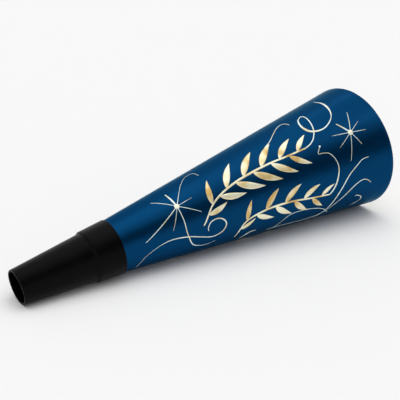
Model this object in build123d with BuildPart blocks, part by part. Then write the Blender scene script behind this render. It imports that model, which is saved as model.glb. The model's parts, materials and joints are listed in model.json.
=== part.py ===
# Party horn blower, lying on its side as it rests on a table
# The horn's axis starts at the lips' end and climbs towards the bell, because the horn rests on the
# edge of its mouthpiece and on the rim of its bell. Stations are measured along that axis.
import os
from math import asin, atan2, cos, hypot, radians, sin

from build123d import *

# Whole horn
horn_length = 229.0
bell_radius = 38.1

# Mouthpiece: a tapered stem for the lips, a shoulder, and a collar that takes the cone
lip_radius = 9.45
lip_round = 0.35
stem_length = 39.6
stem_end_radius = 13.3
stem_wall = 0.95
shoulder_length = 1.1
shoulder_height = 0.9
shoulder_foot_round = 0.8
shoulder_top_round = 0.7
collar_length = 14.5
collar_end_radius = 15.35
collar_lip_wall = 0.5
collar_edge_round = 0.15
ledge_setback = 0.3

# Cone: one sheet of foil-faced card, rolled, with its under end tucked below its over end
card_thickness = 0.6
seam_gap = 0.1
seam_start = -58
seam_lap = 16
seam_ramp = 14
socket_gap = 0.1
glue_clearance = 0.01
socket_glue_setback = 1.0

# Reed unit: a trough with an air channel, held by a flange between the ledge and the cone
flange_thickness = 1.2
flange_clearance = 0.1
seat_clearance = 0.03
skirt_length = 5.5
skirt_wall = 1.0
trough_length = 30.0
trough_radius = 4.4
trough_tip_wall = 1.5
channel_radius = 3.2
roof_thickness = 0.8
reed_thickness = 0.2
reed_width = 7.4
tongue_setback = 0.4
tongue_corner = 1.2
tongue_lift = 2.0
root_length = 8.6
flex_gap = 0.05
clip_length = 5.5
clip_wall = 0.9
clip_clearance = 0.05

# One overrun for all cuts
overrun = 2.0

# Stations and radii that follow from the sizes above
collar_start = stem_length + shoulder_length
collar_start_radius = stem_end_radius + shoulder_height
collar_end = collar_start + collar_length
ledge_station = collar_start + ledge_setback
card_start = ledge_station + flange_thickness + 2 * seat_clearance
socket_mouth_radius = collar_end_radius - collar_lip_wall
card_taper = (bell_radius - socket_mouth_radius + socket_gap) / (horn_length - collar_end)
stem_taper = (stem_end_radius - lip_radius) / stem_length
trough_tip = ledge_station - trough_length
flex_station = ledge_station - root_length
tongue_length = flex_station - trough_tip - tongue_setback

# How the horn lies: the rounded edge at the lips and the sharp rim of the bell touch the table
# The lips' edge is an arc, whose centre lies edge_radius off the axis and lip_round from the end
edge_radius = lip_radius + lip_round * (stem_taper - hypot(1, stem_taper))
contact_run = horn_length - lip_round
contact_rise = bell_radius - edge_radius
tilt = atan2(contact_rise, contact_run) - asin(lip_round / hypot(contact_run, contact_rise))
along = Vector(cos(tilt), 0, sin(tilt))
upward = Vector(-sin(tilt), 0, cos(tilt))
lowest = lip_round * sin(tilt) - edge_radius * cos(tilt) - lip_round
nearest = lip_round * cos(tilt) - edge_radius * sin(tilt) - lip_round
furthest = horn_length * cos(tilt) + bell_radius * sin(tilt)
lips_centre = Vector(-(nearest + furthest) / 2, 0, -lowest)

# Round the cone's section: the lap, the ramp out of it, and the round part, as equal arcs
full_turn = 360
seam_end = seam_start + seam_lap
ramp_end = seam_end + seam_ramp
tuck = card_thickness + seam_gap
main_arc_count = 3
main_arc = (full_turn - seam_ramp) / main_arc_count

# The plane through the axis, with x along the horn and y away from the axis
profile_plane = Plane(origin=lips_centre, x_dir=along, z_dir=(0, -1, 0))
horn_axis = Axis(lips_centre, along)

# The line where the tongue bends: it crosses the horn just above the trough's flat face
flex_point = lips_centre + along * flex_station + upward * (reed_thickness / 2)


def section_plane(station):
    """Plane across the horn at a station, with x towards the far side and y upward."""
    return Plane(origin=lips_centre + along * station, x_dir=(0, 1, 0), z_dir=along)


def card_radius(station):
    """Outer radius of the card at a station."""
    return bell_radius - (horn_length - station) * card_taper


def socket_radius(station):
    """Radius of the collar's socket at a station: the card's, with room for the glue."""
    return card_radius(station) + socket_gap


def bore_radius(station):
    """Radius of the tapered bore in the stem at a station."""
    return lip_radius - stem_wall + station * stem_taper


def polar(radius, angle):
    """Point at a radius and an angle in degrees."""
    return (radius * cos(radians(angle)), radius * sin(radians(angle)))


def arc(radius_from, radius_to, start, end):
    """Arc from one angle to another, whose radius may drift on the way."""
    middle = polar((radius_from + radius_to) / 2, (start + end) / 2)
    return ThreePointArc(polar(radius_from, start), middle, polar(radius_to, end))


def card_edge(radius, start, ramp_start):
    """One face of the rolled sheet, from its tucked end to its over end."""
    arc(radius - tuck, radius - tuck, start, ramp_start)
    arc(radius - tuck, radius, ramp_start, ramp_end)
    for index in range(main_arc_count):
        arc(radius, radius, ramp_end + index * main_arc, ramp_end + (index + 1) * main_arc)


def card_section(station):
    """The rolled sheet cut across: the tucked end, the ramp, the round part and the over end."""
    outer = card_radius(station)
    inner = outer - card_thickness
    with BuildSketch(section_plane(station)) as section:
        with BuildLine():
            card_edge(outer, seam_start, seam_end)
            card_edge(inner, seam_start, seam_end)
            Line(polar(outer - tuck, seam_start), polar(inner - tuck, seam_start))
            Line(polar(outer, seam_end), polar(inner, seam_end))
        make_face()
    return section


def seam_section(station):
    """The glue in the lap cut across, just clear of the two sheets."""
    outer = card_radius(station) - card_thickness - glue_clearance
    inner = card_radius(station) - tuck + glue_clearance
    with BuildSketch(section_plane(station)) as section:
        with BuildLine():
            arc(outer, outer, seam_start, seam_end)
            arc(inner, inner, seam_start, seam_end)
            Line(polar(outer, seam_start), polar(inner, seam_start))
            Line(polar(outer, seam_end), polar(inner, seam_end))
        make_face()
    return section


# Bell cone
with BuildPart() as bell_cone:
    loft([card_section(card_start).sketch, card_section(horn_length).sketch], ruled=True)
bell_cone.part.label = "bell_cone"

# Seam glue
with BuildPart() as seam_glue:
    loft([seam_section(card_start).sketch, seam_section(horn_length).sketch], ruled=True)
seam_glue.part.label = "seam_glue"

# Mouthpiece
with BuildPart() as mouthpiece:
    with BuildSketch(profile_plane) as wall:
        with BuildLine():
            FilletPolyline(
                (0, lip_radius),
                (stem_length, stem_end_radius),
                (collar_start, collar_start_radius),
                (collar_end, collar_end_radius),
                (collar_end, socket_mouth_radius),
                (ledge_station, socket_radius(ledge_station)),
                (ledge_station, bore_radius(ledge_station)),
                (0, bore_radius(0)),
                radius=[
                    lip_round,
                    shoulder_foot_round,
                    shoulder_top_round,
                    collar_edge_round,
                    0,
                    0,
                    0,
                    lip_round,
                ],
                close=True,
            )
        make_face()
    revolve(axis=horn_axis)
mouthpiece.part.label = "mouthpiece"

# Socket glue: a thin ring between the card and the socket
glue_start = card_start + socket_glue_setback
glue_end = collar_end - socket_glue_setback
with BuildPart() as socket_glue:
    with BuildSketch(profile_plane) as ring:
        with BuildLine():
            Polyline(
                (glue_start, card_radius(glue_start) + glue_clearance),
                (glue_end, card_radius(glue_end) + glue_clearance),
                (glue_end, socket_radius(glue_end) - glue_clearance),
                (glue_start, socket_radius(glue_start) - glue_clearance),
                close=True,
            )
        make_face()
    revolve(axis=horn_axis)
socket_glue.part.label = "socket_glue"

# Reed body: a half-round trough, closed at its tip, a flange and a skirt that fits the stem's bore
flange_start = ledge_station + seat_clearance
flange_end = flange_start + flange_thickness
flange_radius = socket_radius(ledge_station) - flange_clearance
skirt_start = ledge_station - skirt_length
with BuildPart() as reed_body:
    with BuildSketch(section_plane(flange_start)) as flange:
        Circle(flange_radius)
    extrude(amount=flange_thickness)
    with BuildSketch(profile_plane) as skirt:
        with BuildLine():
            Polyline(
                (skirt_start, bore_radius(skirt_start) - seat_clearance),
                (flange_start, bore_radius(flange_start) - seat_clearance),
                (flange_start, bore_radius(flange_start) - seat_clearance - skirt_wall),
                (skirt_start, bore_radius(skirt_start) - seat_clearance - skirt_wall),
                close=True,
            )
        make_face()
    revolve(axis=horn_axis)
    with BuildSketch(section_plane(trough_tip)) as trough:
        Circle(trough_radius)
        Rectangle(
            2 * trough_radius,
            trough_radius,
            align=(Align.CENTER, Align.MIN),
            mode=Mode.SUBTRACT,
        )
    extrude(amount=flange_start - trough_tip)
    with BuildSketch(section_plane(trough_tip + trough_tip_wall)) as open_channel:
        Circle(channel_radius)
        Rectangle(
            2 * channel_radius,
            channel_radius,
            align=(Align.CENTER, Align.MIN),
            mode=Mode.SUBTRACT,
        )
    extrude(amount=flex_station - trough_tip - trough_tip_wall, mode=Mode.SUBTRACT)
    with BuildSketch(section_plane(flex_station)) as roofed_channel:
        Circle(channel_radius)
        with Locations((0, -roof_thickness)):
            Rectangle(
                2 * channel_radius,
                2 * channel_radius,
                align=(Align.CENTER, Align.MIN),
                mode=Mode.SUBTRACT,
            )
    extrude(amount=flange_end + overrun - flex_station, mode=Mode.SUBTRACT)
reed_body.part.label = "reed_body"

# Reed root: the strip's fixed end, flat on the roof of the channel
with BuildPart() as reed_root:
    with BuildSketch(Plane(origin=flex_point, x_dir=along, z_dir=upward)) as strip:
        with Locations((flex_gap / 2, 0)):
            Rectangle(root_length - flex_gap / 2, reed_width, align=(Align.MIN, Align.CENTER))
    extrude(amount=reed_thickness / 2, both=True)
reed_root.part.label = "reed_root"

# Reed tongue: the strip's free end, lifted off the trough's face, with rounded corners at its tip
lift = radians(tongue_lift)
tongue_way = along * -cos(lift) + upward * sin(lift)
tongue_top = along * sin(lift) + upward * cos(lift)
with BuildPart() as reed_tongue:
    with BuildSketch(Plane(origin=flex_point, x_dir=tongue_way, z_dir=tongue_top)) as strip:
        with Locations((flex_gap / 2, 0)):
            Rectangle(tongue_length - flex_gap / 2, reed_width, align=(Align.MIN, Align.CENTER))
        fillet(strip.vertices().group_by(Axis.X)[-1], tongue_corner)
    extrude(amount=reed_thickness / 2, both=True)
reed_tongue.part.label = "reed_tongue"

# Reed clip: a ring round the trough and the root of the reed, with a flat that presses on the root
clip_bore = trough_radius + clip_clearance
clip_outer = clip_bore + clip_wall
clip_flat = reed_thickness + clip_clearance
with BuildPart() as reed_clip:
    with BuildSketch(section_plane(flex_station + flex_gap / 2)) as ring:
        Circle(clip_outer)
        with Locations((0, clip_flat + clip_wall)):
            Rectangle(
                2 * clip_outer,
                clip_outer,
                align=(Align.CENTER, Align.MIN),
                mode=Mode.SUBTRACT,
            )
        with BuildSketch(mode=Mode.SUBTRACT) as hole:
            Circle(clip_bore)
            with Locations((0, clip_flat)):
                Rectangle(
                    2 * clip_bore,
                    clip_bore,
                    align=(Align.CENTER, Align.MIN),
                    mode=Mode.SUBTRACT,
                )
    extrude(amount=clip_length)
reed_clip.part.label = "reed_clip"

pieces = (
    bell_cone,
    seam_glue,
    mouthpiece,
    socket_glue,
    reed_body,
    reed_root,
    reed_tongue,
    reed_clip,
)
os.makedirs("parts", exist_ok=True)
for piece in pieces:
    export_step(piece.part, f"parts/{piece.part.label}.step")
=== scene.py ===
import json
from math import cos, hypot, pi, radians, sin

import bpy
import numpy as np
from mathutils import Matrix, Vector


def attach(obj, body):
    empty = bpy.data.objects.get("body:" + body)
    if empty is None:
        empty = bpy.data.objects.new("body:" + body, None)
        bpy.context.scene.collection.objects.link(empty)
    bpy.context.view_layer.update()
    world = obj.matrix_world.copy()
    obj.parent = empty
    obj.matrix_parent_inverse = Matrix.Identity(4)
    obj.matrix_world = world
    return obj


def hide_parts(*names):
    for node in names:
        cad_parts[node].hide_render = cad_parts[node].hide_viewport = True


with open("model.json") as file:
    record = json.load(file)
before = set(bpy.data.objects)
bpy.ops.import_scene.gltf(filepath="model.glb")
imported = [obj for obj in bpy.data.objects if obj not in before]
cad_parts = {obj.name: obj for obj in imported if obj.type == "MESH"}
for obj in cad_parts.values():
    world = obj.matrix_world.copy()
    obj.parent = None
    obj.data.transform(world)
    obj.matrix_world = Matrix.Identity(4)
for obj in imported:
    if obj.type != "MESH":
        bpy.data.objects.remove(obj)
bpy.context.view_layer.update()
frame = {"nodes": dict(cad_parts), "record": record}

mm = 0.001

# The horn's sizes, as its solids have them. Stations run along the axis from the lips' end.
horn_length = 229.0 * mm
bell_radius = 38.1 * mm
collar_end = 55.2 * mm
socket_mouth_radius = 14.85 * mm
socket_gap = 0.1 * mm
card_start = 42.26 * mm
card_thickness = 0.6 * mm
card_taper = (bell_radius - socket_mouth_radius + socket_gap) / (horn_length - collar_end)

# The lap of the rolled card. Angles run round the axis: 0 is the far side and a quarter turn is up.
seam_start = radians(-58)
seam_lap = radians(16)
seam_ramp = radians(14)
seam_gap = 0.1 * mm
tuck = card_thickness + seam_gap
full_turn = 2 * pi

# Where the horn lies: the flat mount on the bell's rim gives the axis and the rim's middle line
rim_mount = frame["record"]["mounts"][0]
along = np.array(rim_mount["axis"])
far_side = np.array((0.0, 1.0, 0.0))
upward = np.cross(along, far_side)
mouth_centre = np.array(rim_mount["pos_m"]) - upward * (bell_radius - card_thickness / 2)
lips_centre = mouth_centre - along * horn_length

# Camera at the photograph's view. Pixel coordinates are in its frame of 400 by 400.
frame_pixels = 400
sensor_width = 36.0
near_clip = 10 * mm
focal_pixels = 792.7
centre_shift_pixels = (2.32, 8.6)
camera_distance = 449 * mm
view_turn = radians(35.54)
view_fall = radians(23.50)
level_way = np.array((sin(view_turn), cos(view_turn), 0))
view_way = level_way * cos(view_fall) - np.array((0, 0, sin(view_fall)))
view_right = np.array((cos(view_turn), -sin(view_turn), 0))
view_up = np.cross(view_right, view_way)
camera_place = lips_centre + along * horn_length / 2 - view_way * camera_distance


def add_camera():
    """Camera whose focal length and shift come from pixels of the photograph's frame."""
    data = bpy.data.cameras.new("photo_view")
    data.sensor_width = sensor_width
    data.lens = focal_pixels * sensor_width / frame_pixels
    data.shift_x = -centre_shift_pixels[0] / frame_pixels
    data.shift_y = centre_shift_pixels[1] / frame_pixels
    data.clip_start = near_clip
    camera = bpy.data.objects.new("photo_view", data)
    turned = Matrix((view_right, view_up, -view_way)).transposed().to_4x4()
    camera.matrix_world = Matrix.Translation(Vector(camera_place)) @ turned
    bpy.context.scene.collection.objects.link(camera)
    bpy.context.scene.camera = camera


def horn_points(station, angle, radius):
    """Points on the horn: lips' centre, plus station along the axis, plus radius at the angle."""
    station, angle, radius = np.broadcast_arrays(station, angle, radius)
    outward = np.cos(angle)[..., None] * far_side + np.sin(angle)[..., None] * upward
    return lips_centre + station[..., None] * along + radius[..., None] * outward


def straight_radius(station):
    """Radius of the straight cone: the bell's, less the taper times the way back from the mouth."""
    return bell_radius - (horn_length - station) * card_taper


# The card isn't quite round: its surface has low waves that grow from the collar to the mouth
wave_height = 0.05 * mm
wave_counts = (3, 5)


def card_wave(station, angle):
    """Rise of the surface on its waves: the wave height, times a growth from 0 at the collar to 1 at the
    mouth, times the sum over the counts of the sine of (count times the angle, plus the count)."""
    growth = np.clip((station - collar_end) / (horn_length - collar_end), 0, 1)
    waves = sum(np.sin(count * angle + count) for count in wave_counts)
    return wave_height * growth * waves


def skin_radius(station, angle):
    """Radius of the card's outer face: straight cone plus waves, less the tuck just past the lap, which
    the ramp makes up evenly."""
    past_lap = np.mod(angle - seam_start, full_turn) - seam_lap
    drop = np.where(past_lap < 0, 0, tuck * np.clip(1 - past_lap / seam_ramp, 0, 1))
    return straight_radius(station) + card_wave(station, angle) - drop


def pixel_on_cone(pixels):
    """Stations and angles where rays through pixels meet the straight cone: the nearer root of
    |w|^2 - (w.a)^2 = radius^2, with w the way from the lips' centre and a the axis."""
    pixels = np.asarray(pixels, float)
    across = (pixels[:, 0] - frame_pixels / 2 - centre_shift_pixels[0]) / focal_pixels
    down = (pixels[:, 1] - frame_pixels / 2 - centre_shift_pixels[1]) / focal_pixels
    ray = view_way + across[:, None] * view_right - down[:, None] * view_up
    start = camera_place - lips_centre
    ray_along = ray @ along
    start_along = start @ along
    start_radius = straight_radius(start_along)
    square = (ray * ray).sum(1) - ray_along**2 - (card_taper * ray_along) ** 2
    mixed = 2 * (ray @ start - start_along * ray_along - start_radius * card_taper * ray_along)
    rest = start @ start - start_along**2 - start_radius**2
    reach = (-mixed - np.sqrt(np.maximum(mixed**2 - 4 * square * rest, 0))) / (2 * square)
    met = start + ray * reach[:, None]
    return met @ along, np.mod(np.arctan2(met @ upward, met @ far_side), full_turn)


def tube_faces(rows, columns):
    """Quads of a closed tube: rows of outlines that close on themselves, and an end face at the first
    and last row, where the first half of the outline is joined to its mirrored second half."""
    row, column = np.meshgrid(np.arange(rows - 1), np.arange(columns), indexing="ij")
    after = (column + 1) % columns
    corners = (row * columns + column, row * columns + after)
    corners += ((row + 1) * columns + after, (row + 1) * columns + column)
    walls = np.stack(corners, -1).reshape(-1, 4)
    first = np.arange(columns // 2 - 1)
    end = np.stack((first, columns - 1 - first, columns - 2 - first, first + 1), -1)
    return np.concatenate((walls, end, end[:, ::-1] + (rows - 1) * columns))


def faces_outward(points, faces):
    """The faces, turned round if the solid that they close has a negative volume."""
    a, b, c, d = (points[faces[:, corner]] for corner in range(4))
    volume = (np.cross(a, b) * c + np.cross(a, c) * d).sum()
    return faces if volume > 0 else faces[:, ::-1]


def add_piece(name, points, faces, materials, body="horn"):
    """New object at the origin with a smooth mesh, riding on a body."""
    mesh = bpy.data.meshes.new(name)
    mesh.from_pydata(points, [], faces)
    mesh.polygons.foreach_set("use_smooth", np.ones(len(mesh.polygons), bool))
    for material in materials:
        mesh.materials.append(material)
    mesh.update()
    piece = bpy.data.objects.new(name, mesh)
    bpy.context.scene.collection.objects.link(piece)
    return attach(piece, body)


# Materials. A tone is a screen colour, as red, green and blue from 0 to 255. The golds are three
# tones, at three places of a ramp.
foil_blues = ((1, 56, 97), (2, 62, 104))
foil_sheen = (162, 196, 212)
board_creams = ((222, 218, 208), (240, 237, 230))
leaf_golds = ((210, 176, 108), (238, 222, 174), (250, 246, 216))
line_golds = ((222, 210, 174), (232, 237, 220), (234, 246, 240))
gold_places = (0.32, 0.46, 0.60)
plastic_blacks = ((2, 2, 2), (4, 4, 4))
plastic_whites = ((226, 226, 220), (238, 238, 234))
film_greys = ((206, 212, 216), (224, 229, 232))
glue_creams = ((222, 208, 170), (236, 226, 196))
floor_tone = (248, 248, 248)
flag_tone = (90, 90, 90)


def linear(red, green, blue):
    """Colour from a tone, made linear by the sRGB curve."""
    share = np.array((red, green, blue)) / 255
    curve = np.where(share <= 0.04045, share / 12.92, ((share + 0.055) / 1.055) ** 2.4)
    return (*curve, 1.0)


class Finish:
    """A node material that reads Object coordinates, built one named step at a time."""

    def __init__(self, name, **constants):
        self.material = bpy.data.materials.new(name)
        self.material.use_nodes = True
        self.tree = self.material.node_tree
        self.shader = self.tree.nodes["Principled BSDF"]
        self.place = self.tree.nodes.new("ShaderNodeTexCoord").outputs["Object"]
        for socket, value in constants.items():
            self.shader.inputs[socket.replace("_", " ")].default_value = value

    def link(self, output, node_input):
        """A link between two sockets."""
        self.tree.links.new(output, node_input)

    def set(self, socket, output):
        """A link to a socket of the shader."""
        self.link(output, self.shader.inputs[socket])

    def stretched(self, scale):
        """Object coordinates scaled along the three axes."""
        node = self.tree.nodes.new("ShaderNodeMapping")
        node.inputs["Scale"].default_value = scale
        self.link(self.place, node.inputs["Vector"])
        return node.outputs["Vector"]

    def noise(self, size, detail=2.0, place=None):
        """Noise whose blobs are about size metres across."""
        node = self.tree.nodes.new("ShaderNodeTexNoise")
        node.inputs["Scale"].default_value = 1 / size
        node.inputs["Detail"].default_value = detail
        self.link(place or self.place, node.inputs["Vector"])
        return node.outputs["Fac"]

    def set_roughness(self, share, low, high):
        """Roughness: low, plus the share of the way from low to high."""
        node = self.tree.nodes.new("ShaderNodeMapRange")
        node.inputs["To Min"].default_value = low
        node.inputs["To Max"].default_value = high
        self.link(share, node.inputs["Value"])
        self.set("Roughness", node.outputs["Result"])

    def set_colour(self, share, tones):
        """Base colour: the first tone, and the share of the way from it to the second."""
        node = self.tree.nodes.new("ShaderNodeMix")
        node.data_type = "RGBA"
        for socket, tone in zip("AB", tones):
            node.inputs[socket].default_value = linear(*tone)
        self.link(share, node.inputs["Factor"])
        self.set("Base Color", node.outputs["Result"])

    def set_ramp(self, share, places, tones):
        """Base colour from a ramp that has each tone at its place."""
        node = self.tree.nodes.new("ShaderNodeValToRGB")
        elements = node.color_ramp.elements
        while len(elements) < len(places):
            elements.new(1.0)
        for element, place, tone in zip(elements, places, tones):
            element.position = place
            element.color = linear(*tone)
        self.link(share, node.inputs["Fac"])
        self.set("Base Color", node.outputs["Color"])

    def bump(self, height, depth):
        """Bump of a depth in metres, added to any bump made before."""
        node = self.tree.nodes.new("ShaderNodeBump")
        node.inputs["Distance"].default_value = depth
        self.link(height, node.inputs["Height"])
        before = self.shader.inputs["Normal"]
        if before.is_linked:
            self.link(before.links[0].from_socket, node.inputs["Normal"])
        self.link(node.outputs["Normal"], before)


def blue_foil():
    """Satin metallic foil: a fine grain, soft clouds of tone and a thin clear coat."""
    finish = Finish("blue_foil", Metallic=1.0, Coat_Weight=0.04, Coat_Roughness=0.2)
    finish.shader.inputs["Specular Tint"].default_value = linear(*foil_sheen)
    finish.set_colour(finish.noise(size=30 * mm, detail=3.0), foil_blues)
    finish.set_roughness(finish.noise(size=6 * mm, detail=4.0), low=0.30, high=0.38)
    finish.bump(finish.noise(size=0.35 * mm, detail=3.0), depth=0.004 * mm)
    finish.bump(finish.noise(size=9 * mm), depth=0.05 * mm)
    return finish.material


def pale_board():
    """Uncoated card: off-white, with short fibres along the horn and a matt face."""
    finish = Finish("pale_board", Specular_IOR_Level=0.25)
    drawn_out = finish.stretched(scale=(0.25, 1, 1))
    fibres = finish.noise(size=0.5 * mm, detail=4.0, place=drawn_out)
    finish.set_colour(fibres, board_creams)
    finish.set_roughness(finish.noise(size=3 * mm), low=0.75, high=0.9)
    finish.bump(fibres, depth=0.03 * mm)
    return finish.material


def gold_foil(name, tones):
    """Stamped gold foil: its colour drifts over the tones, with a fine crackle."""
    finish = Finish(name, Metallic=0.7)
    finish.set_ramp(finish.noise(size=9 * mm, detail=1.0), gold_places, tones)
    finish.set_roughness(finish.noise(size=1.2 * mm, detail=3.0), low=0.36, high=0.5)
    finish.bump(finish.noise(size=0.3 * mm, detail=3.0), depth=0.006 * mm)
    return finish.material


def black_plastic():
    """Satin moulded plastic with a spark-eroded grain."""
    finish = Finish("black_plastic", Specular_IOR_Level=0.06)
    finish.set_colour(finish.noise(size=12 * mm), plastic_blacks)
    finish.set_roughness(finish.noise(size=2 * mm, detail=4.0), low=0.30, high=0.38)
    finish.bump(finish.noise(size=0.3 * mm, detail=3.0), depth=0.008 * mm)
    return finish.material


def white_plastic():
    """Plain moulded plastic of the reed unit, a little milky."""
    finish = Finish("white_plastic", Subsurface_Weight=0.15, Subsurface_Scale=2 * mm)
    finish.set_colour(finish.noise(size=5 * mm), plastic_whites)
    finish.set_roughness(finish.noise(size=1 * mm), low=0.35, high=0.5)
    finish.bump(finish.noise(size=0.4 * mm), depth=0.006 * mm)
    return finish.material


def reed_film():
    """Thin springy film: smooth, with faint draw lines along the reed."""
    finish = Finish("reed_film", IOR=1.57)
    drawn_out = finish.stretched(scale=(0.05, 1, 1))
    draw_lines = finish.noise(size=0.4 * mm, place=drawn_out)
    finish.set_colour(draw_lines, film_greys)
    finish.set_roughness(draw_lines, low=0.12, high=0.22)
    finish.bump(draw_lines, depth=0.003 * mm)
    return finish.material


def dried_glue():
    """Cream glue with a slightly lumpy skin."""
    finish = Finish("dried_glue")
    finish.set_colour(finish.noise(size=2 * mm), glue_creams)
    finish.set_roughness(finish.noise(size=1 * mm), low=0.3, high=0.5)
    finish.bump(finish.noise(size=0.8 * mm), depth=0.02 * mm)
    return finish.material


# Bell cone: the rolled card
rim_round = 0.12 * mm
rim_steps = 3
station_count = 80
card_angle_count = 377


def card_profile():
    """Closed outline of the card's wall as stations and depths below the outer face: the outer face
    from the collar to the mouth, a rounded cut edge, and the same points mirrored on the inner face."""
    turn = np.linspace(0, pi / 2, rim_steps + 1)[1:]
    straight = np.linspace(card_start, horn_length - rim_round, station_count)
    stations = np.append(straight, horn_length - rim_round * (1 - np.sin(turn)))
    depths = np.append(np.zeros(station_count), rim_round * (1 - np.cos(turn)))
    return np.append(stations, stations[::-1]), np.append(depths, card_thickness - depths[::-1])


def add_bell_cone(foil, board):
    """The card's outline turned one lap further than a full turn, while its radius climbs the ramp that
    lifts the over end clear of the tucked end. Foil covers the outer face and its turn into the cut
    edge, and the rest is bare board."""
    stations, depths = card_profile()
    turned = np.linspace(0, full_turn + seam_lap, card_angle_count)[:, None]
    climb = np.clip((turned - seam_lap) / seam_ramp, 0, 1)
    angle = seam_start + turned
    radius = straight_radius(stations) - depths + card_wave(stations, angle) - tuck * (1 - climb)
    points = horn_points(stations, angle, radius).reshape(-1, 3)
    faces = tube_faces(card_angle_count, len(stations))
    bare = np.ones(len(faces), int)
    wall_count = (card_angle_count - 1) * len(stations)
    last_foil = station_count + rim_steps - 1
    bare[:wall_count] = np.tile(np.arange(len(stations)) >= last_foil, card_angle_count - 1)
    piece = add_piece("rolled_card_cone", points, faces_outward(points, faces), (foil, board))
    piece.data.polygons.foreach_set("material_index", bare)
    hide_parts("bell_cone")


# Gold print: strokes of stamped foil with a low crown
crown_height = 0.06 * mm
sunk_depth = 0.03 * mm
stroke_step = 0.35 * mm
across_count = 7
end_bunching = 0.25
least_width_share = 0.02
fewest_rows = 10
curve_steps = 12
ray_width_shares = np.array((0.9, 1.0, 0.6))
slant = hypot(1, card_taper)


def smooth_path(corners):
    """Catmull-Rom curve through the corners, as rows of two coordinates: start, and half the sum of
    t times (end - before), t^2 times (2 before - 5 start + 4 end - after) and t^3 times
    (3 start - before - 3 end + after)."""
    corners = np.asarray(corners, float)
    first, last = 2 * corners[:1] - corners[1:2], 2 * corners[-1:] - corners[-2:-1]
    padded = np.concatenate((first, corners, last))
    before, start, end, after = (padded[i : len(corners) - 1 + i, None] for i in range(4))
    t = np.linspace(0, 1, curve_steps, endpoint=False)[None, :, None]
    straight = t * (end - before)
    square = t**2 * (2 * before - 5 * start + 4 * end - after)
    cube = t**3 * (3 * start - before - 3 * end + after)
    curve = start + (straight + square + cube) / 2
    return np.concatenate((curve.reshape(-1, 2), corners[-1:]))


def walked_ways(path):
    """Way walked on the cone's slope at each point of a path of stations and angles: the running sum
    of its steps, each the hypotenuse of a step along the slope and a step round it."""
    forward = np.diff(path[:, 0]) * slant
    sideways = np.diff(path[:, 1]) * straight_radius(path[1:, 0])
    return np.concatenate(((0,), np.cumsum(np.hypot(forward, sideways))))


def headings(path):
    """Unit steps of a path on the cone's slope, as a row along the cone and a row round it: each step
    over its own length."""
    forward = np.gradient(path[:, 0]) * slant
    sideways = np.gradient(path[:, 1]) * straight_radius(path[:, 0])
    steps = np.stack((forward, sideways))
    return steps / np.hypot(*steps)


def stroke(path, widths):
    """Points and faces of one stroke along a path of stations and angles. The path is walked in steps
    that bunch a little at its ends, and its width is read from the widths at even shares of its
    length. Its ends are rounded as half circles. Across it, from v = -1 to 1, the top is a crown of
    height times (1 - v^2) and the back is sunk."""
    walked = walked_ways(path)
    length = walked[-1]
    share = np.linspace(0, 1, max(int(length / stroke_step), fewest_rows))
    share = share * (1 - end_bunching) + (1 - np.cos(share * pi)) / 2 * end_bunching
    path = np.stack([np.interp(share * length, walked, column) for column in path.T], -1)
    half = np.interp(share, np.linspace(0, 1, len(widths)), widths) / 2
    end_way = np.clip(np.minimum(share, 1 - share) * length / half, 0, 1)
    half = half * np.maximum(np.sqrt(1 - (1 - end_way) ** 2), least_width_share)
    v = np.linspace(-1, 1, across_count)
    lift = np.append(crown_height * (1 - v**2), np.full(across_count, -sunk_depth))
    side = half[:, None] * np.append(v, v[::-1])
    along_step, round_step = headings(path)
    station = path[:, :1] - round_step[:, None] * side / slant
    angle = path[:, 1:] + along_step[:, None] * side / straight_radius(path[:, :1])
    points = horn_points(station, angle, skin_radius(station, angle) + lift).reshape(-1, 3)
    return points, faces_outward(points, tube_faces(len(path), len(lift)))


def add_print(name, strokes, gold):
    """One piece of gold print made of many strokes."""
    points, faces = zip(*strokes)
    starts = np.cumsum([0] + [len(part) for part in points])
    faces = [part + start for part, start in zip(faces, starts)]
    add_piece(name, np.concatenate(points), np.concatenate(faces), (gold,))


def pixel_path(pixels):
    """Path on the cone through pixels of the photograph."""
    station, angle = pixel_on_cone(pixels)
    return smooth_path(np.stack((station, np.unwrap(angle)), -1))


def pixel_stroke(pixels, widths):
    """Stroke through pixels of the photograph, with widths in millimetres."""
    return stroke(pixel_path(pixels), np.array(widths) * mm)


def walked_path(foot, ways, length):
    """Path walked over the cone from its foot in even steps, one for each way. A way is a turn in
    radians from straight towards the mouth, and a path is the running sum of its steps."""
    step = length / len(ways)
    stations = foot[0] + np.cumsum(np.cos(ways)) * step / slant
    angles = foot[1] + np.cumsum(np.sin(ways) * step / straight_radius(stations))
    return np.stack((stations, angles), -1)


def disc(place, across):
    """A disc: a stroke as long as it is wide, in millimetres, and rounded at both ends."""
    half_way = across / 2 / slant * mm
    path = np.array(place) + ((-half_way, 0), (half_way, 0))
    return stroke(path, np.array((across, across)) * mm)


def star_strokes(rays, ray_widths):
    """Rays that all start at one place, each of its own width in millimetres and narrower at its tip."""
    return [stroke(ray, ray_width_shares * width * mm) for ray, width in zip(rays, ray_widths)]


def pixel_rays(centre, tips):
    """Ray paths from a centre pixel to tip pixels."""
    return [pixel_path((centre, tip)) for tip in tips]


def pixel_disc(pixel, across):
    """A disc round a pixel of the photograph."""
    return disc(np.stack(pixel_on_cone((pixel,)), -1)[0], across)


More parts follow.
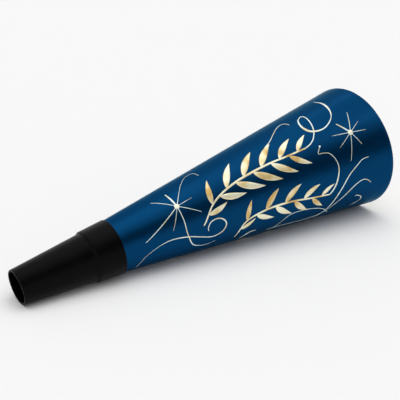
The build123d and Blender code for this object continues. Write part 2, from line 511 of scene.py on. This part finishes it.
# Left starburst. Widths are in millimetres: one for each ray, or at even shares of a stroke's length.
left_star_pixel = (176.9, 206.3)
left_ray_pixels = (
    (150.4, 203.3),
    (164.7, 194.9),
    (191.9, 197.4),
    (201.9, 211.7),
    (173.4, 231.1),
    (145.8, 243.1),
)
left_ray_widths = (0.38, 1.0, 0.3, 0.34, 0.3, 0.48)
left_rise_pixels = (
    left_star_pixel,
    (178.5, 195.6),
    (180.5, 185.4),
    (185.1, 177.2),
    (192.2, 173.7),
    (198.6, 175.5),
)
left_rise_widths = (0.44, 0.28, 0.24, 0.24, 0.3)
left_fall_pixels = (
    left_star_pixel,
    (184.1, 220.6),
    (187.7, 233.4),
    (192.2, 243.6),
    (197.9, 245.4),
    (205.5, 244.4),
    (215.2, 240.5),
)
left_fall_widths = (0.44, 0.45, 0.56, 0.68, 0.34, 0.16)

# Scroll at the collar's end
scroll_pixels = (
    (136.1, 267),
    (144.8, 257.9),
    (157.2, 248.0),
    (171.2, 240.3),
    (188.2, 236.9),
    (201.4, 236.9),
    (212.7, 236.4),
    (221.8, 231.8),
    (226.4, 225.2),
    (224.9, 220.1),
    (218.8, 218.3),
    (211.6, 221.6),
    (208.6, 227.2),
    (208.8, 231.1),
)
scroll_widths = (0.2, 0.22, 0.6, 0.64, 0.78, 0.45)

# Right starburst
right_star_pixel = (350.5, 132.2)
right_ray_pixels = (
    (346.8, 112.1),
    (335.8, 124.0),
    (332, 136),
    (339.8, 148.3),
    (351.2, 161.1),
    (362.1, 144.0),
    (366, 129.4),
    (358, 121.1),
)
right_ray_widths = (0.44, 0.95, 0.4, 0.3, 0.34, 0.44, 0.38, 0.3)

# Flourishes towards the mouth
accent_pixels = (
    (264.4, 147.9),
    (269.5, 141.8),
    (273.0, 134.6),
    (276.0, 129.1),
    (279.4, 125.8),
    (283.8, 124.0),
    (289.4, 125.0),
)
accent_widths = (0.46, 0.46, 0.46)
crest_pixels = (
    (313.0, 102.3),
    (322, 103.7),
    (328.7, 109.2),
    (331.1, 115.7),
    (329.2, 122.3),
    (324.2, 128.1),
    (317.0, 131.0),
    (308.6, 130.9),
    (301.4, 126.8),
    (297.9, 121.1),
    (300.5, 117.1),
    (305, 117.5),
    (310.4, 122.9),
    (313.5, 130),
    (313.6, 137.1),
    (311.2, 143.0),
    (306, 148),
)
crest_widths = (0.25, 1.45, 0.45, 0.8, 1.6, 0.62, 0.72, 0.6, 0.7)
side_scroll_pixels = (
    (319.7, 146.5),
    (318.4, 153.7),
    (322.9, 153.2),
    (329.1, 153.2),
    (335.4, 158.6),
    (338.9, 166.6),
    (338.5, 176.4),
    (335.4, 186.3),
    (330, 194.3),
)
side_scroll_widths = (0.38, 0.36, 0.44, 0.95, 1.05)
side_scroll_disc_width = 1.3
long_spray_pixels = (
    (312.1, 217.5),
    (319.3, 213.9),
    (324.6, 210.4),
    (332.7, 202.3),
    (340.7, 190.7),
    (348.8, 176.4),
    (356.4, 166.3),
    (362.6, 159.3),
    (369.0, 156.5),
)
long_spray_widths = (0.4, 0.9, 0.7, 0.38)
short_spray_pixels = (
    (326.4, 209.9),
    (336.0, 202.9),
    (345.4, 194.8),
    (353.2, 187.0),
    (359.1, 181.9),
    (364.0, 179.2),
    (367.9, 179.8),
    (371.1, 182.2),
)
short_spray_widths = (0.35, 0.65, 0.65, 0.34)
under_arc_pixels = (
    (273.1, 227.4),
    (288.4, 215.9),
    (302.8, 210.2),
    (316.2, 208.3),
    (323.8, 209.2),
    (327, 212),
)
under_arc_widths = (0.38, 0.5, 0.4)
under_leaf_pixels = ((238.7, 238.3), (249.2, 232.2), (256, 230))
under_leaf_widths = (0.4, 1.2, 0.5)
under_line_pixels = (
    (266.4, 229.3),
    (283.7, 224.5),
    (300.9, 220.1),
    (314.3, 215.9),
    (325.7, 210.2),
)
under_line_widths = (0.4, 0.5, 0.65)
rim_hook_pixels = (
    (349.6, 205),
    (355, 202.3),
    (359.9, 199.2),
    (360.8, 196.5),
    (357.7, 195.2),
    (355, 195.8),
)
rim_hook_widths = (0.3, 0.5, 0.65, 0.5)


def add_flourishes(gold):
    """Rays of the starbursts and thin scrolls on the side that the photograph shows."""
    left = star_strokes(pixel_rays(left_star_pixel, left_ray_pixels), left_ray_widths)
    left.append(pixel_stroke(left_rise_pixels, left_rise_widths))
    left.append(pixel_stroke(left_fall_pixels, left_fall_widths))
    add_print("left_starburst", left, gold)
    right = star_strokes(pixel_rays(right_star_pixel, right_ray_pixels), right_ray_widths)
    add_print("right_starburst", right, gold)
    add_print("collar_scroll", [pixel_stroke(scroll_pixels, scroll_widths)], gold)
    thin = [
        pixel_stroke(accent_pixels, accent_widths),
        pixel_stroke(crest_pixels, crest_widths),
        pixel_stroke(side_scroll_pixels, side_scroll_widths),
        disc(pixel_path(side_scroll_pixels)[0], side_scroll_disc_width),
        pixel_stroke(long_spray_pixels, long_spray_widths),
        pixel_stroke(short_spray_pixels, short_spray_widths),
        pixel_stroke(under_arc_pixels, under_arc_widths),
        pixel_stroke(under_leaf_pixels, under_leaf_widths),
        pixel_stroke(under_line_pixels, under_line_widths),
        pixel_stroke(rim_hook_pixels, rim_hook_widths),
    ]
    add_print("mouth_flourishes", thin, gold)


# Leafy sprigs: a thin stem with slender leaves that lean forward on both sides. A leaf leans from its
# stem in radians, and its size at the ends of the stem is a share of the largest.
upper_stem_pixels = ((204, 226), (214, 203), (233, 184), (262, 167), (290, 155), (306, 148))
upper_leaves = {"pairs": 6, "longest": 19 * mm, "widest": 4.2 * mm}
lower_stem_pixels = ((234, 237), (246, 222), (266, 210), (290, 202), (312, 198), (330, 194.3))
lower_leaves = {"pairs": 5, "longest": 15 * mm, "widest": 3.6 * mm}
stem_widths = np.array((0.7, 1.1, 1.3, 1.1, 0.9)) * mm
leaf_shape_count = 24
leaf_foot_share = 0.02
leaf_tip_share = 0.99
leaf_belly_power = 0.75
leaf_lean = 0.85
tip_lean_share = 0.5
end_leaf_share = 0.62


def leaf_widths(widest):
    """Widths of a leaf from foot to tip: widest times the sine of half a turn times share^power."""
    shares = np.linspace(leaf_foot_share, leaf_tip_share, leaf_shape_count)
    return widest * np.sin(pi * shares**leaf_belly_power)


def leaf_path(foot, way, lean, length):
    """A leaf's middle line: it leaves the stem at the lean and bends back evenly to a share of it."""
    return walked_path(foot, way + lean * np.linspace(1, tip_lean_share, leaf_shape_count), length)


def sprig_strokes(stem, pairs, longest, widest):
    """A stem and its leaves, one left and one right by turns. Their sizes rise from the end leaf's share
    to 1 at the middle, as the sine of half a turn times the share of the way up the stem."""
    walked = walked_ways(stem)
    made = [stroke(stem, stem_widths)]
    along_step, round_step = headings(stem)
    stem_ways = np.arctan2(round_step, along_step)
    for index in range(2 * pairs):
        share = (index + 1) / (2 * pairs + 1)
        *foot, way = (np.interp(share * walked[-1], walked, row) for row in (*stem.T, stem_ways))
        size = end_leaf_share + (1 - end_leaf_share) * sin(pi * share)
        leaf = leaf_path(foot, way, leaf_lean * (-1) ** index, longest * size)
        made.append(stroke(leaf, leaf_widths(widest * size)))
    return made


def add_sprigs(gold):
    """The two leafy sprigs on the side that the photograph shows."""
    add_print("upper_sprig", sprig_strokes(pixel_path(upper_stem_pixels), **upper_leaves), gold)
    add_print("lower_sprig", sprig_strokes(pixel_path(lower_stem_pixels), **lower_leaves), gold)


# Print on the far side and underneath, clear of the seam. A place or foot is a station and an angle,
# ways and sweeps are turns in radians, and the lengths and widths of rays are in millimetres.
walk_count = 60
collar_star_place = (80 * mm, radians(32))
collar_star_lengths = (9, 5, 8, 5, 8, 5, 8, 5)
mouth_star_place = (200 * mm, radians(-13))
mouth_star_lengths = (11, 7, 9, 7, 11, 7, 9, 7)
under_star_place = (88 * mm, radians(262))
under_star_lengths = (7, 4, 7, 4, 7, 4, 7, 4)
placed_ray_width = 0.55
tendril_widths = np.array((0.4, 0.7, 0.9, 0.7, 0.5)) * mm
far_tendrils = (
    {"foot": (60 * mm, radians(-22)), "way": 0.0, "sweep": 4.4, "length": 27 * mm},
    {"foot": collar_star_place, "way": 0.5, "sweep": -4.2, "length": 42 * mm},
    {"foot": (140 * mm, radians(-25)), "way": -0.1, "sweep": 4.8, "length": 33 * mm},
)
far_stem = {"foot": (112 * mm, radians(4)), "first_way": 0.35, "last_way": -0.15, "length": 92 * mm}
far_leaves = {"pairs": 6, "longest": 18 * mm, "widest": 4.0 * mm}
far_tip_curl = {"sweep": -5.2, "length": 26 * mm}
under_stem = {"foot": (116 * mm, radians(256)), "first_way": 0.2, "last_way": -0.05, "length": 84 * mm}
under_leaves = {"pairs": 5, "longest": 15 * mm, "widest": 3.6 * mm}


def placed_star(place, lengths):
    """Rays of a starburst at a place, of these lengths and at even turns."""
    turns = np.linspace(0, full_turn, len(lengths), endpoint=False)
    ways = [np.full(walk_count, turn) for turn in turns]
    rays = [walked_path(place, way, length * mm) for way, length in zip(ways, lengths)]
    return star_strokes(rays, np.full(len(rays), placed_ray_width))


def tendril(foot, way, sweep, length):
    """A stroke that starts straight and curls up: it turns by the sweep times the share squared."""
    share = np.linspace(0, 1, walk_count)
    return stroke(walked_path(foot, way + sweep * share**2, length), tendril_widths)


def bent_stem(foot, first_way, last_way, length):
    """A stem whose way changes evenly from its foot to its tip."""
    return walked_path(foot, np.linspace(first_way, last_way, walk_count), length)


def add_far_print(line_gold, leaf_gold):
    """Rays of starbursts, tendrils and sprigs on the sides that the photograph doesn't show."""
    stars = placed_star(collar_star_place, collar_star_lengths)
    stars += placed_star(mouth_star_place, mouth_star_lengths)
    add_print("far_starbursts", stars, line_gold)
    add_print("far_tendrils", [tendril(**said) for said in far_tendrils], line_gold)
    stem = bent_stem(**far_stem)
    far = sprig_strokes(stem, **far_leaves)
    far.append(tendril(stem[-1], far_stem["last_way"], **far_tip_curl))
    add_print("far_sprig", far, leaf_gold)
    under = sprig_strokes(bent_stem(**under_stem), **under_leaves)
    under += placed_star(under_star_place, under_star_lengths)
    add_print("under_sprig", under, leaf_gold)


# Hearts of the starbursts, with widths in millimetres
left_heart_width = 3.0
right_heart_width = 3.3
placed_heart_width = 2.8


def add_star_hearts(gold):
    """Discs over the places where the rays of the starbursts start."""
    hearts = [pixel_disc(left_star_pixel, left_heart_width)]
    hearts.append(pixel_disc(right_star_pixel, right_heart_width))
    for place in (collar_star_place, mouth_star_place, under_star_place):
        hearts.append(disc(place, placed_heart_width))
    add_print("star_hearts", hearts, gold)


def add_cad_finishes():
    """Materials of the solids that show as they are."""
    finishes = {
        "mouthpiece": black_plastic(),
        "reed_body": white_plastic(),
        "reed_film": reed_film(),
        "adhesive": dried_glue(),
    }
    wearers = {
        "mouthpiece": "mouthpiece",
        "reed_body": "reed_body",
        "reed_clip": "reed_body",
        "reed_root": "reed_film",
        "reed_tongue": "reed_film",
        "seam_glue": "adhesive",
        "socket_glue": "adhesive",
    }
    for node, wanted in wearers.items():
        for slot in frame["nodes"][node].material_slots:
            slot.material = finishes[wanted]


# Studio. A sun's way points to it, its spread is in degrees, and its level is the light that it lends
# the floor. A softbox hangs at its place and shows in reflections with its glow.
sheet_corners = ((-1, -1), (1, -1), (1, 1), (-1, 1))
floor_reach = 6.0
floor_colour = linear(*floor_tone)
room_strength = 0.465
seen_room_strength = floor_colour[0]
suns = {
    "overhead_key": {"way": (0.0, 0.0, 1.0), "spread": 60, "level": 0.29},
    "front_fill": {"way": (0.0, -0.4, 1.0), "spread": 60, "level": 0.25},
}
softboxes = {
    "wide_softbox": {"place": (0.08, 0.13, 1.0), "size": (0.65, 0.70), "glow": 0.6},
    "front_softbox": {"place": (0.58, -0.40, 1.0), "size": (0.36, 0.26), "glow": 1.1},
    "back_softbox": {"place": (0.66, 0.66, 1.0), "size": (0.36, 0.30), "glow": 1.1},
}
flag_high_point = (0.0, -0.92, 0.80)
flag_low_point = (0.66, -1.06, 0.42)
flag_length = 1.5
flag_width = 0.68


def add_sheet(name, corners, finish):
    """A flat sheet between four corners."""
    mesh = bpy.data.meshes.new(name)
    mesh.from_pydata(corners, [], [(0, 1, 2, 3)])
    mesh.materials.append(finish.material)
    sheet = bpy.data.objects.new(name, mesh)
    bpy.context.scene.collection.objects.link(sheet)
    return sheet


def add_floor():
    """Large level square floor of plain pale paint."""
    finish = Finish("pale_paint", Base_Color=floor_colour, Roughness=0.9, Specular_IOR_Level=0.0)
    corners = [(x * floor_reach, y * floor_reach, 0) for x, y in sheet_corners]
    floor = add_sheet("studio_floor", corners, finish)


def add_flag():
    """Dark card that leans on the camera's side, which the foil mirrors as its dark band. Its middle
    line runs through two points, it is centred between them, and it faces the horn."""
    high, low = Vector(flag_high_point), Vector(flag_low_point)
    middle = (high + low) / 2
    run = (low - high).normalized()
    rise = middle.cross(run).normalized()
    half_run, half_rise = run * flag_length / 2, rise * flag_width / 2
    corners = [middle + half_run * x + half_rise * y for x, y in sheet_corners]
    flag_colour = linear(*flag_tone)
    finish = Finish("dark_cloth", Base_Color=flag_colour, Roughness=1.0, Specular_IOR_Level=0.0)
    flag = add_sheet("dark_card", corners, finish)
    flag.visible_camera = False
    flag.visible_shadow = False
    flag.visible_diffuse = False


def add_lamp(data):
    """A lamp in the scene."""
    lamp = bpy.data.objects.new(data.name, data)
    lamp.rotation_mode = "QUATERNION"
    bpy.context.scene.collection.objects.link(lamp)
    return lamp


def add_lamps():
    """Suns, whose energy is level times pi over the rise of their way, and softboxes, whose energy is
    glow times pi times their area. Suns don't show in reflections, and softboxes show nowhere else."""
    for name, said in suns.items():
        way = Vector(said["way"]).normalized()
        data = bpy.data.lights.new(name, "SUN")
        data.energy = said["level"] * pi / way.z
        data.angle = radians(said["spread"])
        lamp = add_lamp(data)
        lamp.visible_glossy = False
        lamp.rotation_quaternion = way.to_track_quat("Z", "Y")
    for name, said in softboxes.items():
        data = bpy.data.lights.new(name, "AREA")
        data.shape = "RECTANGLE"
        data.size, data.size_y = said["size"]
        data.energy = said["glow"] * pi * data.size * data.size_y
        lamp = add_lamp(data)
        lamp.visible_diffuse = False
        lamp.location = said["place"]


def add_room():
    """White room round the studio. It lights with one strength, and has another to the eye, in
    reflections and through anything clear: the greatest of those rays' tests, 0 or 1, picks it."""
    world = bpy.data.worlds.new("studio_room")
    bpy.context.scene.world = world
    world.use_nodes = True
    tree = world.node_tree
    room = tree.nodes["Background"]
    room.inputs["Color"].default_value = (1, 1, 1, 1)
    ray = tree.nodes.new("ShaderNodeLightPath")
    shown = ray.outputs["Is Camera Ray"]
    for test in ("Is Glossy Ray", "Is Transmission Ray"):
        greater = tree.nodes.new("ShaderNodeMath")
        greater.operation = "MAXIMUM"
        tree.links.new(shown, greater.inputs[0])
        tree.links.new(ray.outputs[test], greater.inputs[1])
        shown = greater.outputs["Value"]
    strength = tree.nodes.new("ShaderNodeMapRange")
    strength.inputs["To Min"].default_value = room_strength
    strength.inputs["To Max"].default_value = seen_room_strength
    tree.links.new(shown, strength.inputs["Value"])
    tree.links.new(strength.outputs["Result"], room.inputs["Strength"])


add_camera()
add_cad_finishes()
add_bell_cone(blue_foil(), pale_board())
leaf_gold = gold_foil("leaf_gold_foil", leaf_golds)
line_gold = gold_foil("line_gold_foil", line_golds)
add_flourishes(line_gold)
add_sprigs(leaf_gold)
add_far_print(line_gold, leaf_gold)
add_star_hearts(leaf_gold)
add_floor()
add_flag()
add_lamps()
add_room()
bpy.context.scene.view_settings.view_transform = "Standard"
